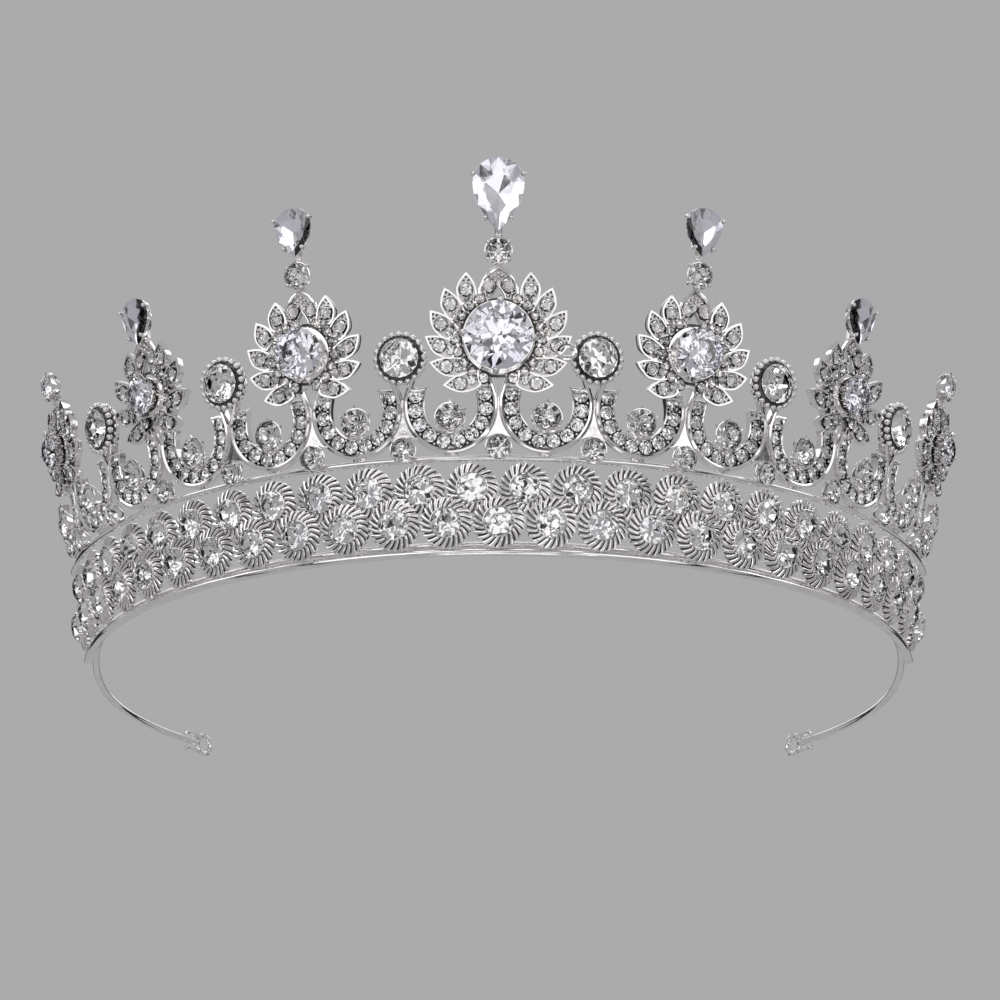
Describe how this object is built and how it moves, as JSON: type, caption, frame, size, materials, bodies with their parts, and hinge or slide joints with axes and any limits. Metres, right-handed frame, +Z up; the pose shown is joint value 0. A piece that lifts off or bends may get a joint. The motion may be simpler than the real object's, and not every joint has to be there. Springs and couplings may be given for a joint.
{
  "type": "bridal tiara",
  "caption": "Openwork bridal tiara on a springy wire hoop, with a fluted stone-set band, a scroll gallery, and leaf clusters and beaded rounds under stone finials.",
  "frame": {"origin": "middle of the plan of the whole tiara, on the plane of the lower rail's flat underside", "axes": "+Z up from the lower rail to the finials, -Y to the front that faces the viewer, +X to the right seen from the front"},
  "size_m": [0.1498, 0.1372, 0.0603],
  "materials": {
    "silver_plate": "bright silver-coloured plating on cast metal, polished",
    "rhinestone": "clear faceted crystal glass with a foiled back",
    "cubic_zirconia": "clear faceted cubic zirconia, brilliant and pear cut"
  },
  "bodies": {
    "root": {"beaded_stone_left_1": "rhinestone", "beaded_stone_left_2": "rhinestone", "beaded_stone_left_3": "rhinestone", "beaded_stone_right_1": "rhinestone", "beaded_stone_right_2": "rhinestone", "beaded_stone_right_3": "rhinestone", "cluster_stone_centre": "cubic_zirconia", "cluster_stone_left_inner": "cubic_zirconia", "cluster_stone_left_middle": "cubic_zirconia", "cluster_stone_left_outer": "cubic_zirconia", "cluster_stone_right_inner": "cubic_zirconia", "cluster_stone_right_middle": "cubic_zirconia", "cluster_stone_right_outer": "cubic_zirconia", "cup_stone_left_1": "rhinestone", "cup_stone_left_2": "rhinestone", "cup_stone_left_3": "rhinestone", "cup_stone_left_4": "rhinestone", "cup_stone_left_5": "rhinestone", "cup_stone_left_6": "rhinestone", "cup_stone_left_7": "rhinestone", "cup_stone_right_1": "rhinestone", "cup_stone_right_2": "rhinestone", "cup_stone_right_3": "rhinestone", "cup_stone_right_4": "rhinestone", "cup_stone_right_5": "rhinestone", "cup_stone_right_6": "rhinestone", "cup_stone_right_7": "rhinestone", "eyelet_left": "silver_plate", "eyelet_right": "silver_plate", "finial_round_centre": "rhinestone", "finial_round_left_inner": "rhinestone", "finial_round_right_inner": "rhinestone", "finial_setting_centre": "silver_plate", "finial_setting_left_inner": "silver_plate", "finial_setting_left_middle": "silver_plate", "finial_setting_left_outer": "silver_plate", "finial_setting_right_inner": "silver_plate", "finial_setting_right_middle": "silver_plate", "finial_setting_right_outer": "silver_plate", "finial_stone_centre": "cubic_zirconia", "finial_stone_left_inner": "cubic_zirconia", "finial_stone_left_middle": "cubic_zirconia", "finial_stone_left_outer": "cubic_zirconia", "finial_stone_right_inner": "cubic_zirconia", "finial_stone_right_middle": "cubic_zirconia", "finial_stone_right_outer": "cubic_zirconia", "hoop_wire": "silver_plate", "leaf_cluster_centre": "silver_plate", "leaf_cluster_left_inner": "silver_plate", "leaf_cluster_left_middle": "silver_plate", "leaf_cluster_left_outer": "silver_plate", "leaf_cluster_right_inner": "silver_plate", "leaf_cluster_right_middle": "silver_plate", "leaf_cluster_right_outer": "silver_plate", "lower_rail": "silver_plate", "pinwheel_band": "silver_plate", "scroll_gallery": "silver_plate", "upper_rail": "silver_plate"}
  },
  "joints": []
}
